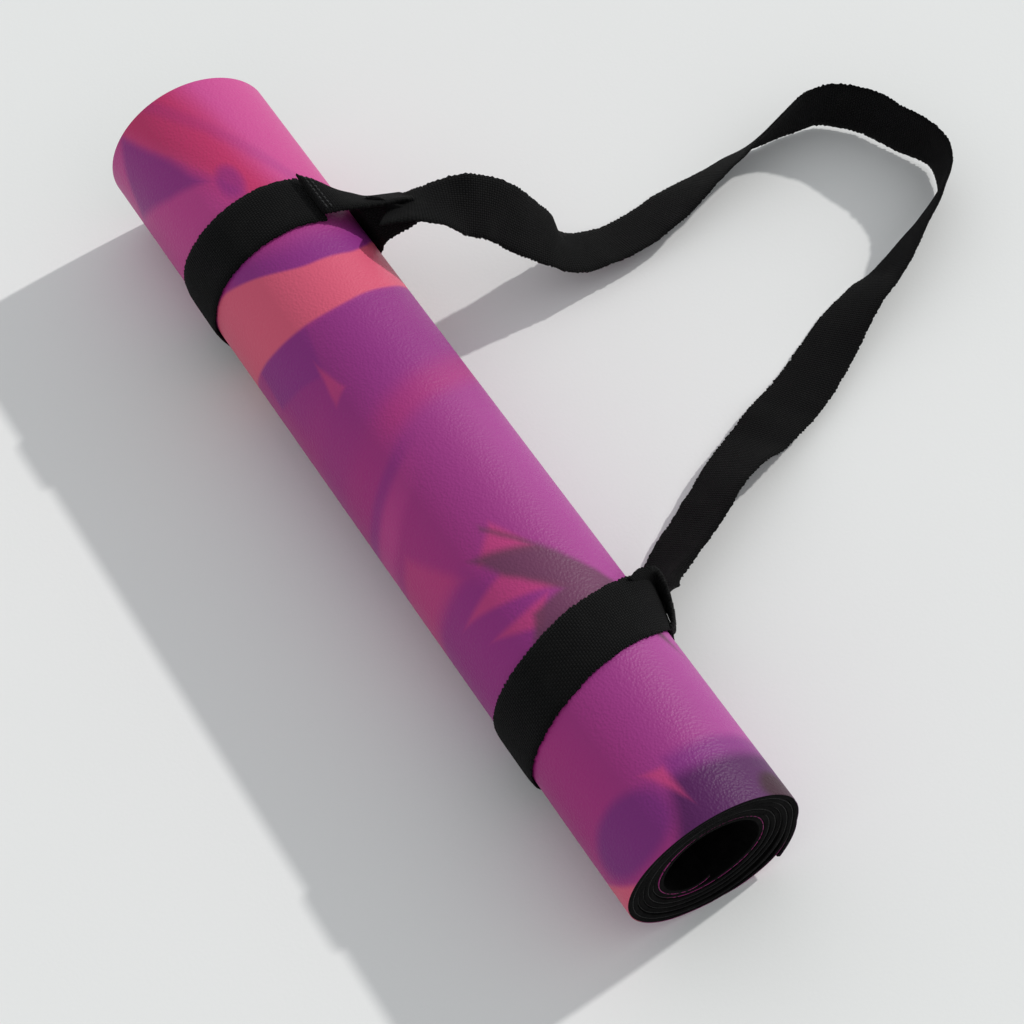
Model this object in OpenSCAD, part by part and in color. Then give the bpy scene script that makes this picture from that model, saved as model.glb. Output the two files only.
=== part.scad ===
// Rolled exercise mat with a webbing carry sling.
// The roll lies along Y with its near end at -Y; the sling's free length lies on the floor on the +X side.
// Origin: on the floor, under the middle of the roll. Millimetres.

/* [Mat] */
// Width of the mat, which is the length of the roll
mat_w = 610; // [560:5:680]
// Thickness of the rubber base
base_t = 3.0; // [2.5:0.1:3.2]
// Thickness of the printed face layer
print_t = 0.5; // [0.3:0.1:0.7]
// Air left between one turn and the next
turn_gap = 0.1; // [0.1:0.05:0.3]
// Radius of the roll at the mat's outer end
roll_r = 56.4; // [54:0.2:60]
// Number of steps of 7.5 degrees in the spiral
spiral_steps = 330; // [288:6:348]
// How oval the roll has settled, as a share of its radius
oval = 0.03; // [0:0.005:0.04]
// How far the inner end lifts off the turn under it
inner_lift = 6; // [0:1:8]

/* [Sling] */
// Width of the webbing
web_w = 40; // [30:1:45]
// Thickness of the webbing
web_t = 2.2; // [1.5:0.1:2.6]
// Clearance between the mat and the nooses
noose_gap = 0.3; // [0.3:0.1:0.6]
// Place of the far noose along the roll
far_y = 183; // [150:1:220]
// Place of the near noose along the roll
near_y = -176; // [-220:1:-150]
// How far the near noose's right side leans towards the middle of the roll
near_slant = 12; // [0:1:16]

/* [Stitching] */
// Length of one stitch
stitch_l = 3; // [2:0.5:4]
// Thickness of the thread
thread_t = 0.8; // [0.5:0.1:1]
// Number of stitches in a row
stitch_n = 8; // [4:1:9]

/* [Hidden] */

web_black = "#1a1a1b";
thread_black = "#2a2a2c";

step = 7.5;
pitch = base_t + print_t + turn_gap;
mat_t = base_t + print_t;
tail_a = -42;            // angle of the mat's outer end, from +X towards +Z
oval_a = -27;            // angle of the oval's long axis
lift_span = 30;          // degrees over which the inner end lifts
spiral_span = spiral_steps * step;
axis_z = 53.8;           // height of the roll's axis, with the webbing pressed flat under it
bridge_span = 30;        // degrees that a noose takes to step down off the mat's outer end

// Factor that makes the roll oval at angle a
function oval_at(a) = 1 + oval * cos(2 * (a - oval_a));

// How far the inner end has lifted after u degrees of winding
function lift_at(u) = inner_lift * pow(max(0, (u - spiral_span + lift_span) / lift_span), 2);

// Radius of the printed face after u degrees of winding
function spiral_r(u) = (roll_r - pitch * u / 360) * oval_at(u + tail_a) - lift_at(u);

function polar(r, a) = [r * cos(a), axis_z + r * sin(a)];

// Points of the spiral at a depth under the printed face
function spiral(depth) = [for (i = [0:spiral_steps]) polar(spiral_r(i * step) - depth, i * step + tail_a)];

function reversed(list) = [for (i = [len(list) - 1:-1:0]) list[i]];

// One layer of the rolled sheet, between two depths under the printed face
module rolled_layer(top, bottom) {
    outline = concat(spiral(top), reversed(spiral(bottom)));
    translate([0, mat_w / 2, 0])
        rotate([90, 0, 0])
            linear_extrude(mat_w)
                polygon(outline);
}

// Closed skin over a row of rings that all have the same number of points
module loft(rings) {
    n = len(rings[0]);
    m = len(rings);
    points = [for (ring = rings) for (p = ring) p];
    sides = [for (i = [0:m - 2]) for (j = [0:n - 1])
        let (k = (j + 1) % n, a = i * n + j, b = i * n + k, c = a + n, d = b + n)
        each [[a, b, d], [a, d, c]]];
    first = [for (j = [1:n - 2]) [0, j + 1, j]];
    last = [for (j = [1:n - 2]) [(m - 1) * n, (m - 1) * n + j, (m - 1) * n + j + 1]];
    polyhedron(points, concat(sides, first, last));
}

function unit(v) = v / norm(v);

// Ring of webbing round centre point p: along is its travel, across its width direction
function web_ring(p, along, across, w, t) =
    let (s = unit(across - along * (across * along)), up = cross(s, along))
    [for (k = [[-1, -1], [1, -1], [1, 1], [-1, 1]]) p + s * (k[0] * w / 2) + up * (k[1] * t / 2)];

// Direction of travel at point i of a list
function travel(p, i) = unit(p[min(i + 1, len(p) - 1)] - p[max(i - 1, 0)]);

// Direction across the webbing when it is turned a degrees up from flat, seen along its travel
function across(along, a) =
    let (flat = unit([along[1], -along[0], 0]), up = cross(flat, along))
    cos(a) * flat + sin(a) * up;

// Smooth curve through a route's points, where each row is x, y, z and the turn of the webbing
function curve(p, i, f) =
    let (n = len(p) - 1, a = p[max(i - 1, 0)], b = p[i], c = p[i + 1], d = p[min(i + 2, n)])
    0.5 * (2 * b + (c - a) * f + (2 * a - 5 * b + 4 * c - d) * f * f + (3 * b - a - 3 * c + d) * f * f * f);

function smooth_route(p, cuts) =
    concat([for (i = [0:len(p) - 2]) for (k = [0:cuts - 1]) curve(p, i, k / cuts)], [p[len(p) - 1]]);

module webbing(route, t) {
    centre = [for (q = route) [q[0], q[1], q[2]]];
    loft([for (i = [0:len(route) - 1])
        let (along = travel(centre, i))
        web_ring(centre[i], along, across(along, route[i][3]), web_w, t)]);
}

// Radius of the noose's inner face at angle a: it bridges the step behind the mat's outer end
function noose_r(a) =
    let (u = (a - tail_a + 720) % 360, ramp = max(0, (u - 360 + bridge_span) / bridge_span))
    (roll_r - pitch * u / 360 + pitch * ramp) * oval_at(a) + noose_gap;

// A noose: webbing laid round the roll from one angle to another, pressed flat where the roll rests on it,
// then along tail points, each [x, z] of the webbing's inner face with the direction of its outer face
function noose_rings(y, slant, from, to, tail = []) = concat(
    [for (a = [from:step:to])
        let (r = noose_r(a), i = polar(r, a), o = polar(r + web_t, a), c = y + slant * cos(a))
        [[i[0], c - web_w / 2, i[1]], [i[0], c + web_w / 2, i[1]],
         [o[0], c + web_w / 2, max(0, o[1])], [o[0], c - web_w / 2, max(0, o[1])]]],
    [for (q = tail)
        let (o = [q[0] + web_t * cos(q[2]), q[1] + web_t * sin(q[2])])
        [[q[0], y - web_w / 2, q[1]], [q[0], y + web_w / 2, q[1]],
         [o[0], y + web_w / 2, o[1]], [o[0], y - web_w / 2, o[1]]]]);

// A row of stitches along Y, centred on point p and lying on a face that slopes by tilt degrees
module stitch_row(p, tilt) {
    gap = (web_w - 6 - stitch_n * stitch_l) / (stitch_n - 1);
    translate(p)
        for (i = [0:stitch_n - 1])
            translate([0, stitch_l / 2 + 3 - web_w / 2 + i * (stitch_l + gap), 0])
                rotate([0, tilt, 0])
                    cube([thread_t, stitch_l, thread_t], center = true);
}

far_from = 63;           // angle where the far noose leaves its eye
far_to = 363;            // angle where its other end leaves the roll
far_tail = [[57, 68, 2], [57.5, 78, -2], [58.5, 88, -6]];
near_from = 48;
near_to = 378;
eye_t = 2 * web_t;       // an eye is the webbing folded back on itself
near_eye_from = 51;      // angle of the near eye's hem
near_eye_to = -9;        // angle of its fold
near_stitches = [40, 46];  // angles of the near eye's two rows of stitches

// Centre line of the far eye, from its hem on the roll to its fold in the air
far_eye_route = [
    [20, far_y, 108.4, 0], [36, 182, 104.4, 0], [48, 178, 102.6, 5],
    [60, 168, 102.4, 12], [70, 155, 103.5, 20]];
// Where the far eye's two rows of stitches lie on its upper face, each x, z
far_stitches = [[26, 109.1], [32, 107.6]];

// Centre line of the free strap, from the far eye out along the floor and back to the near eye
strap_route = [
    [72, 150, 104, 22], [86, 143, 102, 10], [101, 138, 97, -8], [123, 131, 85, -34], [142, 126, 66, -35],
    [160, 123, 45, -24], [176, 121, 24, -3], [199, 121, 11, 14], [226, 122, 9, 19], [253, 126, 11, 24],
    [280, 131, 14, 36], [307, 135, 17, 48], [334, 138, 20, 64], [361, 142, 21, 80], [388, 140, 22, 90],
    [408, 122, 22, 95], [419, 97, 22, 94], [429, 71, 23, 91], [421, 47, 22, 96], [398, 32, 21, 108],
    [374, 19, 19, 119], [350, 7, 16, 130], [324, -2, 14, 142], [300, -12, 11, 152], [276, -25, 8, 160],
    [252, -38, 7, 167], [227, -49, 8, 170], [202, -60, 12, 163], [178, -70, 18, 151], [154, -82, 20, 144],
    [130, -95, 18, 145], [106, -107, 16, 140], [88, -119, 18, 126], [77, -133, 23, 110],
    [72, -147, 29, 95]];
strap_cuts = 2;          // rings per point of the route

module mat_print_layer() {
    color("#a5317f") rolled_layer(0, print_t);
}

module mat_rubber_base() {
    color("#161617") rolled_layer(print_t, mat_t);
}

module far_noose_band() {
    color(web_black) loft(noose_rings(far_y, 0, far_from, far_to, far_tail));
}

module far_eye() {
    color(web_black) webbing(far_eye_route, eye_t);
}

module far_eye_stitching() {
    color(thread_black) for (q = far_stitches)
        stitch_row([q[0], far_y, q[1]], 14);
}

module near_noose_band() {
    color(web_black) loft(noose_rings(near_y, near_slant, near_from, near_to));
}

// The near eye lies on the outside of its own noose, round the roll's right side
module near_eye() {
    color(web_black) loft([for (a = [near_eye_to:6:near_eye_from])
        let (r = noose_r(a) + web_t, c = near_y + near_slant * cos(a))
        let (i = polar(r, a), o = polar(r + eye_t, a))
        [[i[0], c - web_w / 2, i[1]], [i[0], c + web_w / 2, i[1]],
         [o[0], c + web_w / 2, o[1]], [o[0], c - web_w / 2, o[1]]]]);
}

module near_eye_stitching() {
    color(thread_black) for (a = near_stitches)
        let (p = polar(noose_r(a) + web_t + eye_t, a))
        stitch_row([p[0], near_y + near_slant * cos(a), p[1]], 90 - a);
}

module carry_strap() {
    color(web_black) webbing(smooth_route(strap_route, strap_cuts), web_t);
}

mat_print_layer();
mat_rubber_base();
far_noose_band();
far_eye();
far_eye_stitching();
near_noose_band();
near_eye();
near_eye_stitching();
carry_strap();
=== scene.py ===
# Rolled exercise mat with a webbing carry sling. Metres, in the CAD frame: the roll lies along Y, its near end
# at -Y, and the sling's free length lies on the floor on the +X side.
import math

import bpy
import numpy as np
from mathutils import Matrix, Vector


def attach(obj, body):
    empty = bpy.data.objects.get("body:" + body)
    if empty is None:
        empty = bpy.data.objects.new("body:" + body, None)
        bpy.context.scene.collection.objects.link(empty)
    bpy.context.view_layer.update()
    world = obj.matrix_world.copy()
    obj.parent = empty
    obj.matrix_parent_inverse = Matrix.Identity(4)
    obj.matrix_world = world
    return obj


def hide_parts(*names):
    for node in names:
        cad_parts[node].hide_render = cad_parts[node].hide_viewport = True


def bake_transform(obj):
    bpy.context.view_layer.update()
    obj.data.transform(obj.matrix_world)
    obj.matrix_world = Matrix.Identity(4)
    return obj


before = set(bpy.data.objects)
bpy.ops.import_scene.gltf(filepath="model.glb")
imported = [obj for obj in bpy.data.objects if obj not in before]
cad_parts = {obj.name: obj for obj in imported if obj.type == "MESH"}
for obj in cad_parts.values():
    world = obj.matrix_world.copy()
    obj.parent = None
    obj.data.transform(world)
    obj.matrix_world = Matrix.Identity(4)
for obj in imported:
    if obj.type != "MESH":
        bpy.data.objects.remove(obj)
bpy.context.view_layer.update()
MM = 0.001

# ---------------------------------------------------------------- sizes, in mm and degrees

AXIS_Z = 53.8                  # height of the roll's axis
ROLL_R = 56.4                  # radius of the printed face at the mat's outer end
TAIL_ANGLE = -42.0             # where the outer end lies, in degrees from +X towards +Z
OVAL, OVAL_ANGLE = 0.03, -27.0  # how far the roll has settled, and the long axis of that
MAT_WIDTH = 610.0
HALF_WIDTH = MAT_WIDTH / 2
TURNS = 6.875
SPACING = 3.52                 # from one turn to the next, where they lie tight
SLACK_BELOW = 0.22             # more of it along the underside, where the turns hang apart
PRINT_T, BASE_T = 0.45, 2.85
INNER_LIFT, LIFT_SPAN = 6.5, 34.0  # how far the inner end stands off the turn under it, over how many degrees
WEB_W, WEB_T = 40.0, 2.2
EYE_T = 4.0                    # two layers of webbing, pressed together by the stitches
NOOSE_GAP = 0.3
NOOSE_STEP = 3.6               # the step at the mat's outer end that a noose has to bridge
BRIDGE_SPAN = 30.0             # degrees that it takes to do so
STITCH_LENGTH, THREAD_RADIUS = 3.0, 0.42

# ---------------------------------------------------------------- camera, floor and light

CAMERA_AT = (-0.4665, -0.8571, 1.4356)
CAMERA_AZIMUTH = -31.482
CAMERA_ELEVATION = 55.639
CAMERA_LENS = 99.67            # mm, on a 36 mm sensor
SUN_FROM = (0.839, 0.098, 0.536)
SUN_STRENGTH = 2.08
SUN_SPREAD = 1.6               # degrees
SKY_COLOUR = (0.955, 0.985, 1.0)
SKY_STRENGTH = 0.65
FLOOR_COLOUR = (0.80, 0.805, 0.80)
FLOOR_SIZE = 8.0


def aim_back(azimuth, elevation):
    """Direction from the object back to a camera at this azimuth and elevation."""
    a, e = math.radians(azimuth), math.radians(elevation)
    return Vector((math.sin(a) * math.cos(e), -math.cos(a) * math.cos(e), math.sin(e)))


def make_camera():
    data = bpy.data.cameras.new("camera")
    data.lens, data.sensor_width = CAMERA_LENS, 36.0
    data.clip_start, data.clip_end = 0.05, 50.0
    cam = bpy.data.objects.new("camera", data)
    bpy.context.scene.collection.objects.link(cam)
    cam.location = CAMERA_AT
    cam.rotation_mode = "QUATERNION"
    cam.rotation_quaternion = (-aim_back(CAMERA_AZIMUTH, CAMERA_ELEVATION)).to_track_quat("-Z", "Y")
    bpy.context.scene.camera = cam


def make_light():
    data = bpy.data.lights.new("key", "SUN")
    data.energy, data.angle = SUN_STRENGTH, math.radians(SUN_SPREAD)
    data.color = (1.0, 0.985, 0.96)
    key = bpy.data.objects.new("key", data)
    bpy.context.scene.collection.objects.link(key)
    key.rotation_mode = "QUATERNION"
    key.rotation_quaternion = Vector(SUN_FROM).to_track_quat("Z", "Y")
    world = bpy.data.worlds.new("studio")
    world.use_nodes = True
    sky = world.node_tree.nodes["Background"]
    sky.inputs["Color"].default_value = (*SKY_COLOUR, 1)
    sky.inputs["Strength"].default_value = SKY_STRENGTH
    bpy.context.scene.world = world
    bpy.context.scene.view_settings.view_transform = "Standard"


# ---------------------------------------------------------------- node maths

class Field:
    """A value in a node tree that can be added, multiplied and compared in plain arithmetic."""

    def __init__(self, tree, socket):
        self.tree, self.socket = tree, socket

    def op(self, name, *others):
        node = self.tree.nodes.new("ShaderNodeMath")
        node.operation = name
        for socket, value in zip(node.inputs, (self, *others)):
            put(self.tree, value, socket)
        return Field(self.tree, node.outputs[0])

    def __add__(self, other):
        return self.op("ADD", other)

    def __sub__(self, other):
        return self.op("SUBTRACT", other)

    def __mul__(self, other):
        return self.op("MULTIPLY", other)

    def __truediv__(self, other):
        return self.op("DIVIDE", other)

    __radd__, __rmul__ = __add__, __mul__

    def step(self, low, high):
        """0 below low, 1 above high, smooth between."""
        node = self.tree.nodes.new("ShaderNodeMapRange")
        node.interpolation_type = "SMOOTHSTEP"
        put(self.tree, self, node.inputs["Value"])
        node.inputs["From Min"].default_value = low
        node.inputs["From Max"].default_value = high
        return Field(self.tree, node.outputs["Result"])

    def inverse(self):
        return self * -1 + 1


def put(tree, value, socket):
    if isinstance(value, Field):
        tree.links.new(value.socket, socket)
    else:
        socket.default_value = value


def mix(tree, mask, low, high):
    """Colour that goes from low to high with the mask."""
    node = tree.nodes.new("ShaderNodeMix")
    node.data_type = "RGBA"
    put(tree, mask, node.inputs["Factor"])
    for socket, value in ((node.inputs["A"], low), (node.inputs["B"], high)):
        put(tree, (*value, 1) if isinstance(value, tuple) else value, colour_socket(node, socket))
    out = [s for s in node.outputs if s.type == "RGBA"][0]
    return Field(tree, out)


def colour_socket(node, socket):
    return [s for s in node.inputs if s.name == socket.name and s.type == "RGBA"][0]


def noise(tree, vector, scale, detail=3.0, roughness=0.5, distortion=0.0):
    node = tree.nodes.new("ShaderNodeTexNoise")
    node.inputs["Scale"].default_value = scale
    node.inputs["Detail"].default_value = detail
    node.inputs["Roughness"].default_value = roughness
    node.inputs["Distortion"].default_value = distortion
    tree.links.new(vector, node.inputs["Vector"])
    return Field(tree, node.outputs["Fac"])


def cells(tree, vector, scale, smoothness=0.6):
    node = tree.nodes.new("ShaderNodeTexVoronoi")
    node.feature = "SMOOTH_F1"
    node.inputs["Scale"].default_value = scale
    node.inputs["Smoothness"].default_value = smoothness
    tree.links.new(vector, node.inputs["Vector"])
    return Field(tree, node.outputs["Distance"])


def bump(tree, shader, height, strength, distance):
    node = tree.nodes.new("ShaderNodeBump")
    node.inputs["Strength"].default_value = strength
    node.inputs["Distance"].default_value = distance
    put(tree, height, node.inputs["Height"])
    tree.links.new(node.outputs["Normal"], shader.inputs["Normal"])


def new_material(name, roughness, specular=0.3, sheen=0.0, sheen_roughness=0.5):
    material = bpy.data.materials.new(name)
    material.use_nodes = True
    tree = material.node_tree
    shader = tree.nodes["Principled BSDF"]
    shader.inputs["Roughness"].default_value = roughness
    shader.inputs["Specular IOR Level"].default_value = specular
    shader.inputs["Sheen Weight"].default_value = sheen
    shader.inputs["Sheen Roughness"].default_value = sheen_roughness
    coords = tree.nodes.new("ShaderNodeTexCoord")
    return material, tree, shader, coords


def facing_y(tree, coords):
    """How squarely the surface faces along the roll, from 0 to 1."""
    split = tree.nodes.new("ShaderNodeSeparateXYZ")
    tree.links.new(coords.outputs["Normal"], split.inputs[0])
    return Field(tree, split.outputs["Y"]).op("ABSOLUTE")


def uv_fields(tree, coords):
    split = tree.nodes.new("ShaderNodeSeparateXYZ")
    tree.links.new(coords.outputs["UV"], split.inputs[0])
    return Field(tree, split.outputs["X"]), Field(tree, split.outputs["Y"])


# ---------------------------------------------------------------- the print: an abstract colour wash

ROSE = (0.52, 0.062, 0.25)
CRIMSON = (0.48, 0.024, 0.105)
DUSK = (0.34, 0.022, 0.19)
CORAL = (0.60, 0.088, 0.160)
VIOLET = (0.22, 0.020, 0.19)
PLUM = (0.33, 0.022, 0.175)
MAGENTA = (0.29, 0.031, 0.20)
ORCHID = (0.35, 0.052, 0.26)
MOSS = (0.120, 0.036, 0.080)
INDIGO = (0.065, 0.006, 0.072)
NIGHT = (0.17, 0.018, 0.17)
MAROON = (0.035, 0.004, 0.018)
GARNET = (0.50, 0.045, 0.17)
# black of the print's cut ends, also used as painted shade in the crevices between the turns
CUT_BLACK_AND_PAINTED_SHADE = (0.005, 0.0045, 0.005)

ROUND = 34.9                   # cm of print in the outer turn
LEFT_SIDE = 195.0              # angle at which Q is 0, on the roll's left side


def polygon(p, q, corners, soft):
    """1 inside a convex polygon whose corners run clockwise in (P right, Q down), soft at its edge."""
    depth = None
    area = sum(a[0] * b[1] - b[0] * a[1] for a, b in zip(corners, corners[1:] + corners[:1]))
    turn = 1.0 if area > 0 else -1.0
    for (x0, y0), (x1, y1) in zip(corners, corners[1:] + corners[:1]):
        length = math.hypot(x1 - x0, y1 - y0)
        a, b = -turn * (y1 - y0) / length, turn * (x1 - x0) / length
        edge = p * a + q * b + (-(a * x0 + b * y0))
        depth = edge if depth is None else depth.op("MINIMUM", edge)
    return depth.step(-soft, soft)


def blob(p, q, at, size, soft=0.5):
    """1 near a point, fading out over an ellipse of this half-size."""
    dx, dy = (p - at[0]) / size[0], (q - at[1]) / size[1]
    return (dx * dx + dy * dy).step(1 - soft, 1 + soft).inverse()


def print_colour(tree, p, q):
    """P is cm from the far end, Q is cm round the roll from its left side, over the top."""
    colour = mix(tree, q.step(4.0, 10.5), PLUM, MAGENTA)
    colour = mix(tree, q.step(10.0, 15.5) * p.step(24, 34), colour, ORCHID)
    # far end
    far = p.step(11.5, 15.0).inverse()
    colour = mix(tree, far, colour, ROSE)
    wedge = polygon(p, q, [(-4, 3.0), (-4, 9.0), (10.5, 11.6), (12, 9.6)], 1.3)
    colour = mix(tree, wedge * 0.85, colour, CRIMSON)
    shaded = polygon(p, q, [(-2, 3.9), (11, 9.9), (14, 9.0), (14, -8), (-2, -8)], 0.25)
    colour = mix(tree, shaded * 0.45, colour, DUSK)
    dark = polygon(p, q, [(0.2, 5.0), (4.2, 1.7), (6.4, 5.2), (7.4, 7.6), (3.6, 6.4)], 0.4)
    colour = mix(tree, dark * 0.85, colour, VIOLET)
    colour = mix(tree, blob(p, q, (8.6, 9.0), (1.3, 0.9), 0.8) * 0.65, colour, VIOLET)
    crease = (p * 0.55 + q * -1 + 7.6).op("ABSOLUTE").step(0.1, 0.9).inverse()
    colour = mix(tree, crease * far * 0.22, colour, VIOLET)
    # stripe that winds round the roll, with a violet crescent before it
    low = q.step(3.0, 10.0) * 2.5 + q.step(12.5, 18.5) * -2.2 + 14.1
    high = ((q + 1) * (math.pi / 19)).op("SINE") * 1.7 + 18.9
    before = (p - low).step(-2.6, -0.6) * (p - low).step(0.0, 0.5).inverse()
    colour = mix(tree, before * q.step(4.0, 6.0) * 0.9, colour, VIOLET)
    stripe = (p - low).step(-0.1, 0.25) * (high - p).step(-0.1, 0.25)
    after = (p - high).step(0, 0.4) * (p - high).step(3.0, 8.5).inverse()
    colour = mix(tree, after * q.step(1.5, 4.0) * 0.5, colour, VIOLET)
    patch = polygon(p, q, [(19.5, 3.0), (22.6, 2.4), (24.2, 6.8), (20.6, 7.4)], 0.25)
    colour = mix(tree, patch * 0.85, colour, VIOLET)
    colour = mix(tree, polygon(p, q, [(23.4, 6.7), (26.4, 6.3), (25.9, 7.4)], 0.2) * 0.7, colour, GARNET)
    colour = mix(tree, stripe, colour, CORAL)
    # middle: curved streaks
    bow = (q * 0.42).op("SINE") * 0.9
    line = ((p + q * 0.24 - bow - 33.6).op("ABSOLUTE")).step(0.15, 0.95).inverse()
    colour = mix(tree, line * q.step(6.5, 9.5).inverse() * 0.6, colour, VIOLET)
    glow = ((p + q * 0.24 - bow - 35.0).op("ABSOLUTE")).step(0.3, 1.5).inverse()
    colour = mix(tree, glow * q.step(4.0, 9.0).inverse() * 0.4, colour, ROSE)
    shaft = ((p + q * 0.36 - 32.4).op("ABSOLUTE")).step(0.3, 1.9).inverse()
    colour = mix(tree, shaft * q.step(6.0, 9.0) * 0.25, colour, CRIMSON)
    shade = ((p + q * 0.30 - 29.6).op("ABSOLUTE")).step(0.4, 2.8).inverse()
    colour = mix(tree, shade * 0.25, colour, VIOLET)
    # towards the near noose
    blush = polygon(p, q, [(36.8, 4.0), (40.8, 6.4), (42.2, -1), (38.2, -2)], 0.5)
    colour = mix(tree, blush * 0.5, colour, GARNET)
    dim = polygon(p, q, [(42.0, -3), (40.6, 6.5), (43.4, 9.6), (48.5, 8.0), (48.5, -3)], 1.0)
    colour = mix(tree, dim * 0.6, colour, VIOLET)
    for corners in ([(42.9, 5.0), (41.9, 8.4), (44.5, 11.0)], [(38.9, 9.5), (40.8, 7.7), (41.6, 10.9)],
                    [(45.0, 6.0), (46.2, 8.4), (44.6, 9.6)]):
        colour = mix(tree, polygon(p, q, corners, 0.3) * 0.7, colour, GARNET)
    body = polygon(p, q, [(40.3, 7.4), (42.8, 8.6), (47.0, 12.6), (50.6, 15.8), (45.0, 14.4), (41.2, 11.0)],
                   0.35)
    lobe = polygon(p, q, [(44.5, 11.4), (45.2, 8.4), (46.6, 7.6), (48.2, 12.6), (47.0, 14.0)], 0.3)
    twig = polygon(p, q, [(38.7, 8.9), (39.1, 8.8), (41.6, 10.8), (41.2, 11.0)], 0.2)
    colour = mix(tree, body.op("MAXIMUM", lobe).op("MAXIMUM", twig * 0.7) * 0.9, colour, MOSS)
    # near end
    colour = mix(tree, blob(p, q, (58.8, 5.4), (2.0, 3.0), 0.45) * 0.9, colour, NIGHT)
    night = polygon(p, q, [(56.8, 9.6), (64, 7.0), (64, 24), (57.6, 24), (56.6, 13)], 0.55)
    colour = mix(tree, night * 0.75, colour, NIGHT)
    ink = polygon(p, q, [(58.0, 9.0), (64, 6.0), (64, 24), (58.2, 24)], 0.6)
    colour = mix(tree, ink * 0.92, colour, INDIGO)
    colour = mix(tree, polygon(p, q, [(56.9, 8.0), (59.2, 9.3), (57.2, 9.2)], 0.3) * 0.75, colour, GARNET)
    colour = mix(tree, polygon(p, q, [(57.7, -1.2), (64, -1.2), (64, 8.4)], 0.25) * 0.95, colour, CORAL)
    colour = mix(tree, blob(p, q, (60.6, 15.4), (1.2, 1.6), 0.6), colour, MAROON)
    return colour


def print_material():
    material, tree, shader, coords = new_material("printed_face", 0.46, specular=0.22)
    u, v = uv_fields(tree, coords)
    wave = noise(tree, coords.outputs["UV"], 9.0, 2.0)
    fine = noise(tree, coords.outputs["UV"], 60.0, 3.0)
    # UV x is metres of winding from the outer end, and y is metres from the far end
    p = v * 100 + (wave - 0.5) * 1.6
    q = u * -100 + (LEFT_SIDE - TAIL_ANGLE) / 360 * ROUND + (wave - 0.5) * 1.2 + (fine - 0.5) * 0.25
    colour = print_colour(tree, p, q)
    # the cut ends are black; the last few mm of every turn but the outer one are painted black too, as painted
    # shade in the tight crevices between the turns
    half = HALF_WIDTH * MM
    end_strip_shade = (v - half).op("ABSOLUTE").step(half - 0.008, half - 0.006)
    cut = facing_y(tree, coords).step(0.80, 0.92).op("MAXIMUM", end_strip_shade * u.step(0.34, 0.36))
    dash = noise(tree, coords.outputs["Object"], 420.0, 1.0).step(0.36, 0.46)
    seen = u.step(1.66, 1.68) * dash       # a broken line of print shows at the innermost turn
    colour = mix(tree, cut * seen.inverse(), colour, CUT_BLACK_AND_PAINTED_SHADE)
    put(tree, colour, shader.inputs["Base Color"])
    place = coords.outputs["Object"]
    grain = cells(tree, place, 620.0) + noise(tree, place, 1100.0, 2.0) * 0.6
    soft = noise(tree, place, 160.0, 2.0) * 0.5
    bump(tree, shader, grain + soft, 0.5, 0.0005)
    return material


def rubber_material():
    material, tree, shader, coords = new_material("foamed_rubber", 0.88, specular=0.04)
    place = coords.outputs["Object"]
    pits = cells(tree, place, 1300.0) * 0.7 + noise(tree, place, 700.0, 3.0)
    worn = noise(tree, place, 150.0, 3.0).step(0.3, 0.75)
    colour = mix(tree, worn, (0.0016, 0.0015, 0.0016), (0.0042, 0.0039, 0.0040))
    put(tree, colour, shader.inputs["Base Color"])
    bump(tree, shader, pits, 0.5, 0.0006)
    return material


WEFT_PITCH, WARP_PITCH = 1.65 * MM, 1.5 * MM


def webbing_material():
    """Plain-weave cotton webbing. UV x is metres along it and y is metres across it."""
    material, tree, shader, coords = new_material("cotton_webbing", 0.9, specular=0.06, sheen=0.02)
    u, v = uv_fields(tree, coords)
    wander = noise(tree, coords.outputs["UV"], 90.0, 2.0)
    along = (u + (wander - 0.5) * 0.0007) * (math.pi / WEFT_PITCH)
    side = (v + (wander - 0.5) * 0.0005) * (math.pi / WARP_PITCH)
    weave = along.op("SINE") * side.op("SINE")
    yarn = weave.op("ABSOLUTE").op("POWER", 0.6)
    warp = weave.step(-0.2, 0.2)
    fuzz = noise(tree, coords.outputs["UV"], 2600.0, 3.0, 0.6)
    worn = noise(tree, coords.outputs["UV"], 70.0, 3.0, 0.6)
    # the colour falls to near-black in the gaps between the yarns: painted shade in the recesses of the weave
    colour = mix(tree, yarn, (0.0006, 0.0006, 0.0007), (0.0058, 0.0058, 0.0060))
    colour = mix(tree, warp * yarn * 0.6, colour, (0.0100, 0.0100, 0.0100))
    colour = mix(tree, worn.step(0.45, 0.8) * 0.35, colour, (0.0105, 0.0103, 0.0100))
    put(tree, colour, shader.inputs["Base Color"])
    bump(tree, shader, yarn * 1.0 + warp * 0.3 + fuzz * 0.35, 0.9, 0.0008)
    return material


def thread_material():
    material, tree, shader, coords = new_material("sewing_thread", 0.7, specular=0.3, sheen=0.2)
    twist = noise(tree, coords.outputs["Object"], 3000.0, 2.0)
    put(tree, mix(tree, twist, (0.004, 0.004, 0.0045), (0.012, 0.012, 0.0125)), shader.inputs["Base Color"])
    bump(tree, shader, twist, 0.6, 0.0003)
    return material


def floor_material():
    material, tree, shader, coords = new_material("floor", 0.85, specular=0.15)
    cloud = noise(tree, coords.outputs["Object"], 4.0, 4.0)
    darker = tuple(0.97 * c for c in FLOOR_COLOUR)
    put(tree, mix(tree, cloud, darker, FLOOR_COLOUR), shader.inputs["Base Color"])
    bump(tree, shader, noise(tree, coords.outputs["Object"], 420.0, 4.0), 0.08, 0.0008)
    return material


# ---------------------------------------------------------------- mesh helpers

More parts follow.
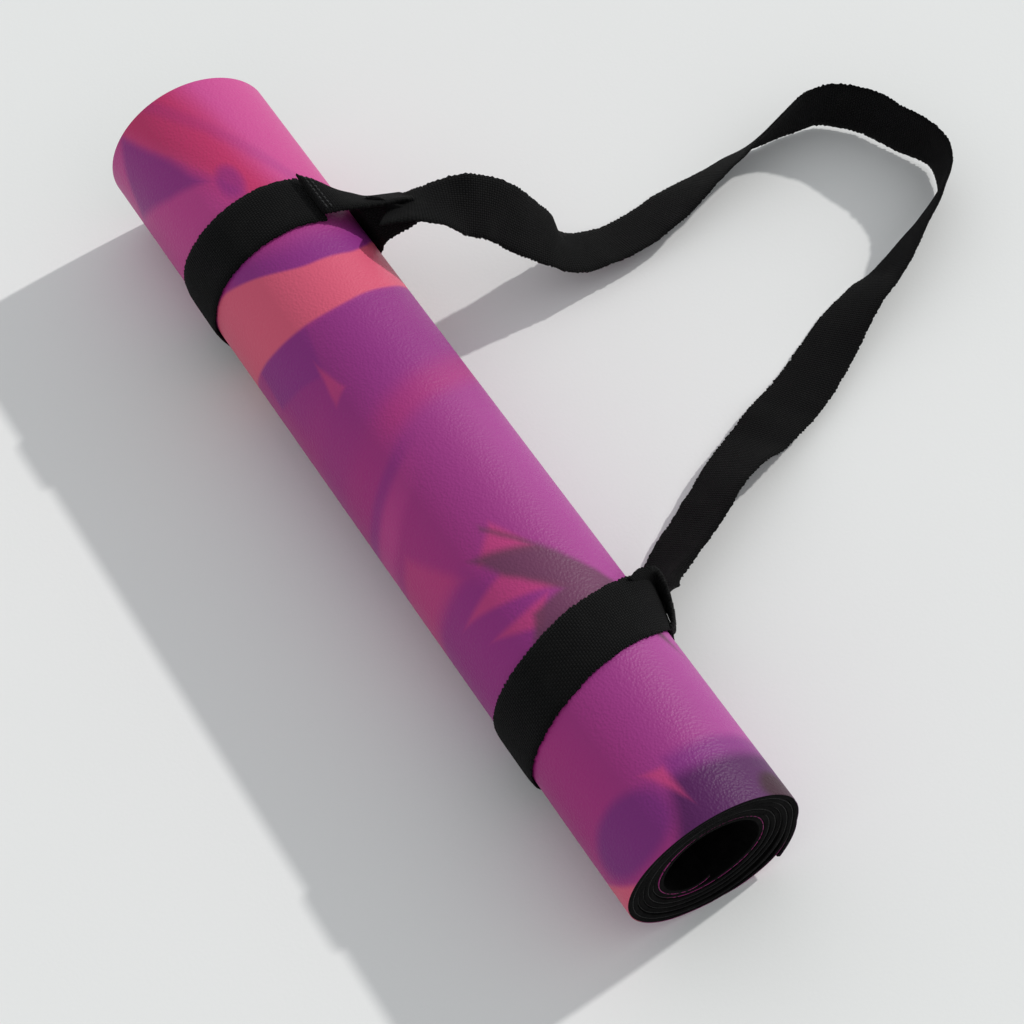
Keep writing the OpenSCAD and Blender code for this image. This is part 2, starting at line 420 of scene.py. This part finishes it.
def make_object(name, points, faces, uvs, material, smooth=True):
    mesh = bpy.data.meshes.new(name)
    mesh.from_pydata([tuple(p) for p in points], [], faces)
    layer = mesh.uv_layers.new(name="sheet")
    for loop in mesh.loops:
        layer.data[loop.index].uv = uvs[loop.vertex_index]
    mesh.materials.append(material)
    for polygon_ in mesh.polygons:
        polygon_.use_smooth = smooth
    mesh.validate()
    obj = bpy.data.objects.new(name, mesh)
    bpy.context.scene.collection.objects.link(obj)
    return obj


def tube_faces(rings, size, flip=False):
    faces = []
    for i in range(rings - 1):
        for j in range(size):
            k = (j + 1) % size
            a, b, c, d = i * size + j, i * size + k, (i + 1) * size + k, (i + 1) * size + j
            faces.append((a, b, c, d) if not flip else (d, c, b, a))
    first, last = list(range(size)), list(range((rings - 1) * size, rings * size))
    half = size // 2
    for ring, turned in ((first, not flip), (last, flip)):
        # caps of quads across the two long sides of a flat ring
        for j in range(half - 1):
            quad = (ring[j], ring[j + 1], ring[size - 2 - j], ring[size - 1 - j])
            faces.append(quad[::-1] if turned else quad)
    return faces


def spline(rows, per_span):
    """Catmull-Rom curve through rows of numbers."""
    rows = np.asarray(rows, float)
    ends = np.vstack([2 * rows[0] - rows[1], rows, 2 * rows[-1] - rows[-2]])
    out = []
    for i in range(1, len(rows)):
        a, b, c, d = ends[i - 1], ends[i], ends[i + 1], ends[i + 2]
        for k in range(per_span):
            f = k / per_span
            out.append(0.5 * (2 * b + (c - a) * f + (2 * a - 5 * b + 4 * c - d) * f ** 2
                              + (3 * b - a - 3 * c + d) * f ** 3))
    out.append(rows[-1])
    return np.array(out)


def resample(curve, spacing):
    """Rows at even distances along the curve's first three columns."""
    gaps = np.linalg.norm(np.diff(curve[:, :3], axis=0), axis=1)
    run = np.concatenate([[0], np.cumsum(gaps)])
    count = max(3, int(round(run[-1] / spacing)) + 1)
    even = np.linspace(0, run[-1], count)
    return np.stack([np.interp(even, run, curve[:, c]) for c in range(curve.shape[1])], 1), even


def unit_rows(v):
    return v / np.maximum(np.linalg.norm(v, axis=1, keepdims=True), 1e-12)


def smooth_noise(rng, count, spacing_in_samples):
    knots = rng.normal(size=max(4, int(count / spacing_in_samples) + 3))
    x = np.linspace(0, len(knots) - 1, count)
    i = np.clip(x.astype(int), 0, len(knots) - 2)
    f = x - i
    f = f * f * (3 - 2 * f)
    return knots[i] * (1 - f) + knots[i + 1] * f


COLUMNS = 11                   # points across a ribbon, on each face
PICOT = 0.00042                # how far the weft loops stand out of the selvedge
RIBBON_STEP = 0.00145          # one weft loop


def ribbon(name, left, right, thick, material, seed, cup=0.0, ripple=0.0002, start_u=0.0, fold=None):
    """Webbing between two edge curves, in metres. thick is one number, or one for each row.
    fold is (length, share, degrees): over that last length a crease moves in from the right edge to this share
    of the half width, and what lies beyond it turns down by up to that angle and back up before the end."""
    rng = np.random.default_rng(seed)
    middle = (left + right) / 2
    depth = np.broadcast_to(np.asarray(thick, float), len(middle))[:, None]
    rows, run = resample(np.hstack([middle, left, right, depth]), RIBBON_STEP)
    centre, left, right, thick = rows[:, :3], rows[:, 3:6], rows[:, 6:9], rows[:, 9]
    count = len(centre)
    crease, drop = np.ones(count), np.zeros(count)
    if fold:
        reached = np.clip(1 - (run[-1] - run) / fold[0], 0, 1)
        crease = 1 - (1 - fold[1]) * reached
        drop = math.radians(fold[2]) * smoothstep(reached, 0, 0.40) * (1 - smoothstep(reached, 0.55, 0.95))
    across = right - left
    width = np.linalg.norm(across, axis=1)
    across = unit_rows(across)
    travel = unit_rows(np.gradient(centre, axis=0))
    normal = unit_rows(np.cross(across, travel))
    share = np.linspace(-1, 1, COLUMNS)
    wave = smooth_noise(rng, count, 14) * ripple
    skew = smooth_noise(rng, count, 10) * ripple
    loops = np.where(np.arange(count) % 2 == 0, 1.0, -0.4)
    picots = [PICOT * (loops * s + 0.7 * rng.normal(size=count)) for s in (1, -1)]
    upper, lower = [], []
    for j, s in enumerate(share):
        reach = s * width / 2
        if j == 0:
            reach = reach - picots[0]
        elif j == COLUMNS - 1:
            reach = reach + picots[1]
        flatness = (1 - abs(s) ** 8) * 0.62 + 0.38
        rise = cup * (s * s) + wave + skew * s
        beyond = np.maximum(0, reach - crease * width / 2)
        flat_reach = reach - beyond + beyond * np.cos(drop)
        base = centre + across * flat_reach[:, None] + normal * (rise + beyond * np.sin(drop))[:, None]
        lean = np.where(beyond > 0, drop, 0)
        out = normal * np.cos(lean)[:, None] - across * np.sin(lean)[:, None]
        half = (thick / 2 * flatness)[:, None]
        upper.append(base + out * half)
        lower.append(base - out * half)
    ring = upper + lower[::-1]
    size = len(ring)
    points = np.stack(ring, 1).reshape(-1, 3)
    spread = np.concatenate([share, share[::-1]])
    uvs = [(start_u + run[i], spread[j] * width[i] / 2) for i in range(count) for j in range(size)]
    return make_object(name, points, tube_faces(count, size), uvs, material), centre


def edges_of(rows):
    """Left and right edge curves, and the thickness where the rows give one, in metres."""
    curve = spline(np.array(rows, float) * MM, 12)
    return (curve[:, :3], curve[:, 3:6], *(curve[:, k] for k in range(6, curve.shape[1])))


# ---------------------------------------------------------------- the rolled mat

def smoothstep(x, low, high):
    f = np.clip((x - low) / (high - low), 0, 1)
    return f * f * (3 - 2 * f)


def bell(x, centre, below, above):
    """1 at the centre, falling to 0 over these distances on each side."""
    side = np.where(x < centre, (centre - x) / below, (x - centre) / above)
    return 1 - smoothstep(side, 0, 1)


def oval_at(angle):
    return 1 + OVAL * np.cos(np.radians(2 * (angle - OVAL_ANGLE)))


def face_radius(u, y):
    """Radius of the printed face in mm, u degrees into the winding and y mm along the roll."""
    angle = u + TAIL_ANGLE
    below = np.clip(-np.sin(np.radians(angle + 12)), 0, 1) ** 1.5
    r = (ROLL_R - (SPACING + SLACK_BELOW * below) * u / 360) * oval_at(angle)
    r = r - INNER_LIFT * np.clip((u - 360 * TURNS + LIFT_SPAN) / LIFT_SPAN, 0, 1) ** 2
    near = smoothstep(-y, 246, 301)
    far = smoothstep(y, 285, 304)
    loose = 7.6 * np.clip(1 - u / 34, 0, 1) ** 1.1
    sag = (6.4 * bell(u, 357, 62, 40) + 3.4 * bell(u, 712, 70, 50)
           + 1.7 * bell(u, 1066, 80, 60) + 0.8 * bell(u, 1420, 80, 60))
    waver = 0.16 * np.sin(np.radians(angle * 3 + u * 0.37)) + 0.12 * np.sin(np.radians(angle * 5 - u * 0.21))
    return r + near * (loose + sag) + far * 0.35 * (loose + sag) + (0.35 + 0.65 * near) * waver * (u > 60)


def end_recess(u, most, phase):
    """How far each turn's edge lies inside the outermost one's, in mm."""
    turn = u / 360
    waver = 0.28 * np.sin(turn * 2.3 + phase) * smoothstep(turn, 0.4, 1.2)
    return most * smoothstep(turn, 0.1, 6.0) + waver + 0.22


def mat_layer(name, top, bottom, step, material, side_round):
    """One layer of the wound sheet, between two depths in mm under the printed face."""
    inner = np.array([0, 0.12, 0.3, 0.6, 1.1, 2.5, 6, 14, 24, 34, 46, 60, 80, 105, 130, 160, 195, 235, 275])
    stations = np.concatenate([inner, [HALF_WIDTH], MAT_WIDTH - inner[::-1]])
    u = np.arange(0, 360 * TURNS + 1e-6, step)
    stretch = np.radians(np.diff(u)) * (ROLL_R - SPACING * u[1:] / 360)
    lengths = np.concatenate([[0], np.cumsum(stretch)])
    near, far = end_recess(u, 2.5, 0.4), end_recess(u, 2.0, 2.1)
    grids = []
    for depth, outward in ((top, 1), (bottom, -1)):
        layer = []
        for s in stations:
            y = -HALF_WIDTH + near + (MAT_WIDTH - near - far) * (s / MAT_WIDTH)
            from_end = min(s, MAT_WIDTH - s, side_round) / side_round
            rounding = side_round * (1 - math.sqrt(max(0.0, 1 - (1 - from_end) ** 2)))
            limit = (bottom - top) / 2 - 0.02
            r = face_radius(u, y) - depth - outward * min(rounding, limit)
            angle = np.radians(u + TAIL_ANGLE)
            z = np.maximum(AXIS_Z + r * np.sin(angle), 0.35 + depth)
            layer.append(np.stack([r * np.cos(angle), y, z], 1) * MM)
        grids.append(layer)
    ring = grids[0] + grids[1][::-1]
    size = len(ring)
    points = np.stack(ring, 1).reshape(-1, 3)
    along = np.concatenate([stations, stations[::-1]])
    uvs = [(lengths[i] * MM, (MAT_WIDTH - along[j]) * MM) for i in range(len(u)) for j in range(size)]
    return make_object(name, points, tube_faces(len(u), size, flip=True), uvs, material)


# ---------------------------------------------------------------- the sling

FAR_Y, NEAR_Y, NEAR_SLANT = 183.0, -176.0, 12.0


def noose_radius(angle):
    """Radius of a noose's inner face, in mm."""
    u = (angle - TAIL_ANGLE + 720) % 360
    ramp = np.maximum(0, (u - 360 + BRIDGE_SPAN) / BRIDGE_SPAN)
    return (ROLL_R - NOOSE_STEP * u / 360 + NOOSE_STEP * ramp) * oval_at(angle) + NOOSE_GAP


def noose_edges(y, slant, start, stop, bulge=0.0):
    """Edge curves of a band round the roll between two angles, in metres. The left edge is the far one, and
    bulge is how far its far edge stands off the roll's right side, where the near edge is drawn in to it."""
    angle = np.linspace(start, stop, 181)
    edges = []
    turned = (angle + 180) % 360 - 180
    for sign in (1, -1):
        r = noose_radius(angle) + WEB_T / 2 + bulge * (sign > 0) * bell(turned, 16, 60, 50)
        drift = 0.7 * np.sin(np.radians(angle * 1.7 + 40 * sign))
        drift += 0.8 * bulge * (sign < 0) * bell(turned, 4, 64, 50)
        middle = y + slant * np.cos(np.radians(angle))
        z = np.maximum(AXIS_Z + r * np.sin(np.radians(angle)), WEB_T / 2)
        edges.append(np.stack([r * np.cos(np.radians(angle)), middle + sign * WEB_W / 2 + drift, z], 1) * MM)
    return edges


# Rows of the free strap, in mm: x, y, z of its middle, and the turn of its width up from flat, in degrees
STRAP_ROUTE = [
    (63, 154, 96, 30), (70, 150.5, 101, 24), (77, 147, 103.5, 21), (86, 143, 102, 13), (98, 139, 98.5, -4),
    (111, 134.5, 94, -31), (126, 131, 84, -36), (142, 126, 66, -35),
    (160, 123, 45, -24), (176, 121, 24, -3), (199, 121, 11, 14), (226, 122, 9, 19), (253, 126, 11, 24),
    (280, 131, 14, 36), (307, 135, 17, 48), (334, 138, 20, 64), (361, 142, 21, 80), (388, 140, 22, 90),
    (408, 122, 22, 95), (419, 97, 22, 94), (429, 71, 23, 91), (421, 47, 22, 96), (398, 32, 21, 108),
    (374, 19, 19, 119), (350, 7, 16, 130), (324, -2, 14, 142), (300, -12, 11, 152), (276, -25, 8, 160),
    (252, -38, 7, 167), (227, -49, 8, 170), (202, -60, 12, 163), (178, -70, 18, 151), (154, -82, 20, 144),
    (130, -95, 18, 145), (106, -107, 16, 140), (88, -119, 18, 126), (77, -133, 23, 110), (70, -146, 29, 97),
    (63, -160, 35, 92)]


def strap_edges():
    curve = spline(STRAP_ROUTE, 16)
    centre = curve[:, :3]
    travel = unit_rows(np.gradient(centre, axis=0))
    flat = unit_rows(np.stack([travel[:, 1], -travel[:, 0], np.zeros(len(travel))], 1))
    up = np.cross(flat, travel)
    turn = np.radians(curve[:, 3])[:, None]
    across = np.cos(turn) * flat + np.sin(turn) * up
    left, right = centre - across * WEB_W / 2, centre + across * WEB_W / 2
    for edge in (left, right):
        edge[:, 2] = np.maximum(edge[:, 2], WEB_T / 2)
    return left * MM, right * MM


# The far noose's other end, which rises off the roll's right side: far edge x, y, z, then near edge, in mm
FAR_TAIL = [
    (58.0, 203, 45, 58.0, 163, 45), (58.3, 198, 63, 58.8, 157, 59), (54, 183, 85, 57.5, 151, 72),
    (50, 171, 97, 59, 148, 79), (56, 168, 101.5, 64, 145, 84), (62, 163, 103, 70.5, 141, 90.5),
    (66, 155, 103.5, 77.5, 137, 97), (73, 149, 103, 82, 134, 99.5)]
# The far eye, from its hem on top of the noose to the thin edge-on strip that passes over the strap
FAR_FLAP = [
    (25.5, 200.5, 109.0, 25.5, 164.5, 108.8), (33.5, 195, 104.9, 34.0, 163, 107.6),
    (42, 189, 98, 42.5, 161, 106.4), (51.6, 186, 90, 51.5, 158.5, 105.5),
    (62, 185, 80, 61.5, 155.5, 104.6), (74, 184, 76, 71, 152.5, 104), (84, 180, 76, 80, 150, 103.4)]
# The near eye: a collar that stands on edge round the roll's right side, top edge, bottom edge, thickness
NEAR_COLLAR = [
    (44, -149, 96.5, 52, -151, 80, 2.4), (54.5, -145.5, 92, 62, -148, 70, 5.0),
    (62.5, -144, 86.5, 67.5, -146, 60, 7.5), (65.6, -147, 83, 69, -148, 54, 6.4),
    (65.4, -154, 80.5, 68.5, -154, 53, 4.6), (63.6, -162, 79, 66.6, -162, 54, 3.6),
    (60.8, -169.5, 78, 63.6, -169, 57, 3.0), (57.6, -175.5, 77, 60, -175, 61, 2.6),
    (53.0, -179, 76.5, 56, -178, 65, 2.4)]


def seam(edges, rows, shares, thick):
    """Places for stitches on a ribbon, in rows at these shares of its length, spread over its width by shares."""
    left, right = edges[0], edges[1]
    places = []
    for row in rows:
        i = int(row * (len(left) - 2))
        across = unit_rows(right[i:i + 1] - left[i:i + 1])[0]
        travel = (left[i + 1] + right[i + 1] - left[i] - right[i]) / 2
        up = unit_rows(np.cross(across, travel)[None])[0]
        for share in shares:
            places.append(((left[i] * (1 - share) + right[i] * share + up * thick / 2) / MM, across, up))
    return places


def stitches(name, places, material):
    """Short raised stitches: each place is the stitch's middle, its direction and its upward direction."""
    points, faces, uvs = [], [], []
    around, rings = 8, 7
    for at, along, up in places:
        at, along, up = np.array(at, float), np.array(along, float), np.array(up, float)
        along /= np.linalg.norm(along)
        side = np.cross(along, up)
        side /= np.linalg.norm(side)
        up = np.cross(side, along)
        base = len(points)
        for i in range(rings):
            f = i / (rings - 1)
            radius = THREAD_RADIUS * (0.35 + 0.65 * math.sin(math.pi * min(max(f, 0.08), 0.92)))
            middle = at + along * (f - 0.5) * STITCH_LENGTH + up * (0.35 * math.sin(math.pi * f) - 0.1)
            for j in range(around):
                a = 2 * math.pi * j / around
                points.append((middle + radius * (math.cos(a) * side + math.sin(a) * up)) * MM)
                uvs.append((f, j / around))
        for i in range(rings - 1):
            for j in range(around):
                k = (j + 1) % around
                low, high = base + i * around, base + (i + 1) * around
                faces.append((low + j, low + k, high + k, high + j))
        faces.append(tuple(base + j for j in range(around - 1, -1, -1)))
        faces.append(tuple(base + (rings - 1) * around + j for j in range(around)))
    return make_object(name, points, faces, uvs, material)


# ---------------------------------------------------------------- build

make_camera()
make_light()

web = webbing_material()
thread = thread_material()

strap_left, strap_right = strap_edges()
strap, strap_path = ribbon("carry_strap_webbing", strap_left, strap_right, WEB_T * MM, web, seed=3,
                           ripple=0.00035, fold=(0.090, 0.30, 62))

far_edges = noose_edges(FAR_Y, 0, 61.5, 351)
far_band, _ = ribbon("far_noose_webbing", *far_edges, WEB_T * MM, web, seed=5, start_u=1.0)
far_tail, _ = ribbon("far_noose_end", *edges_of(FAR_TAIL), WEB_T * MM, web, seed=7, start_u=1.3)
flap_edges = edges_of(FAR_FLAP)
far_flap, _ = ribbon("far_eye_webbing", *flap_edges, EYE_T * MM, web, seed=9, start_u=1.6)
near_edges = noose_edges(NEAR_Y, NEAR_SLANT, -60, 306, bulge=9.0)
near_band, _ = ribbon("near_noose_webbing", *near_edges, WEB_T * MM, web, seed=11, start_u=2.0)
collar_edges = edges_of(NEAR_COLLAR)
near_collar, _ = ribbon("near_eye_webbing", *collar_edges, web, seed=13, start_u=2.5)

across_shares = np.linspace(0.12, 0.88, 8)
far_stitch = stitches("far_eye_thread", seam(flap_edges, (0.05, 0.10), across_shares, EYE_T * MM), thread)
near_stitch = stitches("near_eye_thread", seam(collar_edges, (0.70, 0.76), across_shares, -2.9 * MM), thread)

printed = mat_layer("mat_printed_face", 0.0, PRINT_T, 3.0, print_material(), 0.35)
rubber = mat_layer("mat_foamed_base", PRINT_T + 0.02, PRINT_T + BASE_T, 3.0, rubber_material(), 0.3)

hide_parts("mat_print_layer")
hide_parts("mat_rubber_base")
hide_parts("far_noose_band")
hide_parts("far_eye")
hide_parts("far_eye_stitching")
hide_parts("near_noose_band")
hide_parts("near_eye")
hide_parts("near_eye_stitching")
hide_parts("carry_strap")

for piece in (printed, rubber):
    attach(piece, "mat")
for piece in (far_band, far_tail, far_flap, far_stitch):
    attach(piece, "far_noose")
for piece in (near_band, near_collar, near_stitch):
    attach(piece, "near_noose")
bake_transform(strap)

bpy.ops.mesh.primitive_plane_add(size=FLOOR_SIZE, location=(0, 0, 0))
floor = bpy.context.object
floor.name = "floor"
floor.data.materials.append(floor_material())
